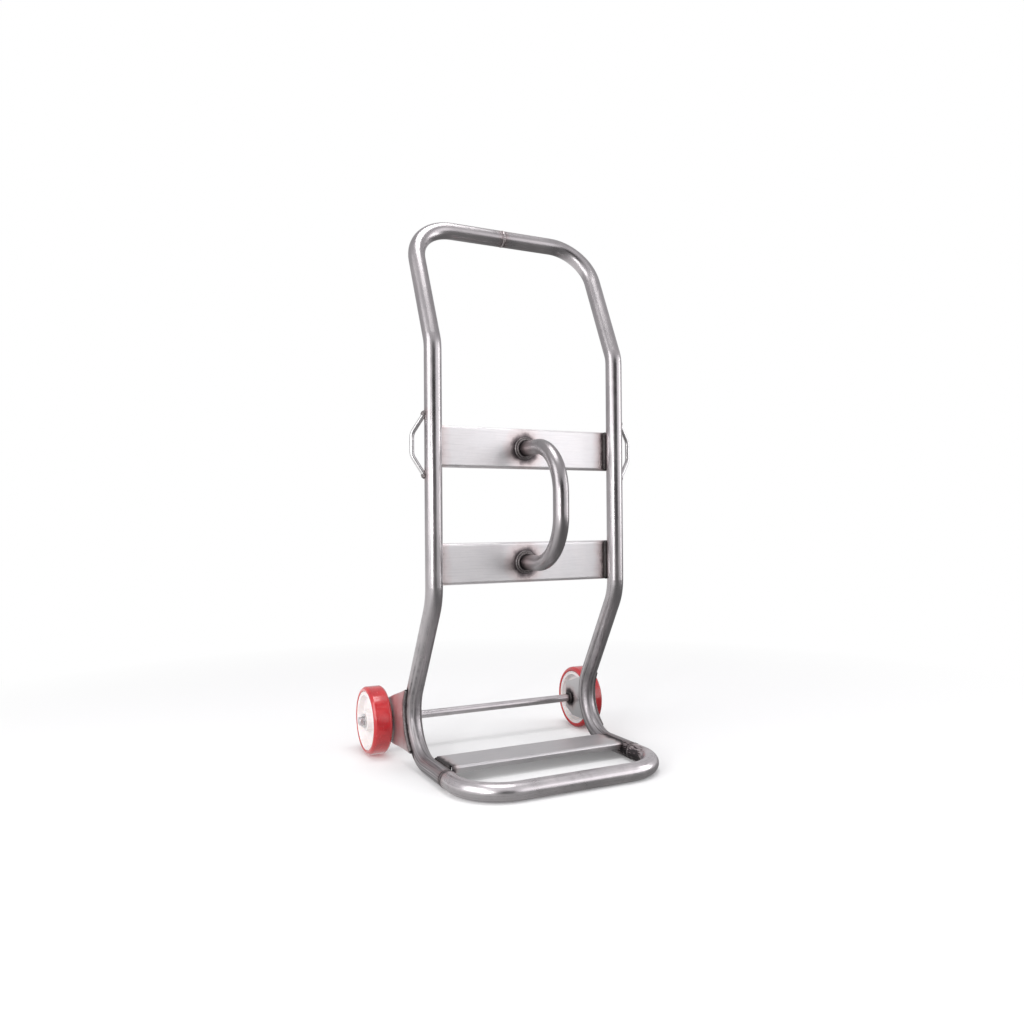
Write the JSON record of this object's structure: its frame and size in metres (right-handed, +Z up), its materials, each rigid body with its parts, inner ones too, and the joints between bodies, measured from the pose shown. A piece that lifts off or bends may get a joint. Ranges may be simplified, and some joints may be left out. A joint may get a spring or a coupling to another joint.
{
  "type": "hand truck",
  "caption": "Welded stainless tube hand truck with a low toe loop, cross plates, a C-shaped grab handle, side strap hooks and solid wheels on a fixed axle.",
  "frame": {"origin": "on the floor under the middle of the whole object's box, between the two wheels and the toe", "axes": "+Z up, +X to the right as seen from the load side, -Y towards the load and the toe, +Y towards the wheels and the user"},
  "size_m": [0.5056, 0.441, 0.9817],
  "materials": {
    "tube_steel": "brushed stainless tube, semi-bright",
    "sheet_steel": "cold-rolled stainless sheet, satin",
    "rod_steel": "drawn stainless bar, semi-bright",
    "weld_metal": "rough weld bead with dark heat tint",
    "red_polyurethane": "cast polyurethane, semi-gloss",
    "white_polyamide": "moulded polyamide, satin",
    "cage_plastic": "moulded polyamide",
    "bearing_steel": "ground and hardened",
    "fastener_steel": "plain stainless"
  },
  "bodies": {
    "frame": {"left_rail": "tube_steel", "right_rail": "tube_steel", "toe_loop": "tube_steel", "grab_handle": "tube_steel", "left_strap_hook": "rod_steel", "right_strap_hook": "rod_steel", "axle": "rod_steel", "upper_cross_plate": "sheet_steel", "lower_cross_plate": "sheet_steel", "toe_plate": "sheet_steel", "left_wheel_bracket": "sheet_steel", "right_wheel_bracket": "sheet_steel", "push_bar_weld": "weld_metal", "toe_welds": "weld_metal", "cross_plate_welds": "weld_metal", "toe_plate_welds": "weld_metal", "grab_handle_welds": "weld_metal", "strap_hook_welds": "weld_metal", "bracket_welds": "weld_metal", "axle_welds": "weld_metal", "axle_washers": "fastener_steel", "split_pins": "fastener_steel"},
    "left_wheel": {"left_tread": "red_polyurethane", "left_wheel_core": "white_polyamide"},
    "right_wheel": {"right_tread": "red_polyurethane", "right_wheel_core": "white_polyamide"},
    "left_bearing": {"left_roller_cage": "cage_plastic", "left_rollers": "bearing_steel"},
    "right_bearing": {"right_roller_cage": "cage_plastic", "right_rollers": "bearing_steel"}
  },
  "joints": [
    {"name": "left_wheel_spin", "type": "hinge", "parent": "frame", "child": "left_wheel", "pos_m": [-0.224, 0.158, 0.0625], "axis": [1, 0, 0], "continuous": true},
    {"name": "right_wheel_spin", "type": "hinge", "parent": "frame", "child": "right_wheel", "pos_m": [0.224, 0.158, 0.0625], "axis": [1, 0, 0], "continuous": true},
    {"name": "left_bearing_spin", "type": "hinge", "parent": "frame", "child": "left_bearing", "pos_m": [-0.224, 0.158, 0.0625], "axis": [1, 0, 0], "continuous": true},
    {"name": "right_bearing_spin", "type": "hinge", "parent": "frame", "child": "right_bearing", "pos_m": [0.224, 0.158, 0.0625], "axis": [1, 0, 0], "continuous": true}
  ],
  "couplings": [
    {"joint": "left_bearing_spin", "follows": "left_wheel_spin", "ratio": 0.5946},
    {"joint": "right_bearing_spin", "follows": "right_wheel_spin", "ratio": 0.5946}
  ]
}
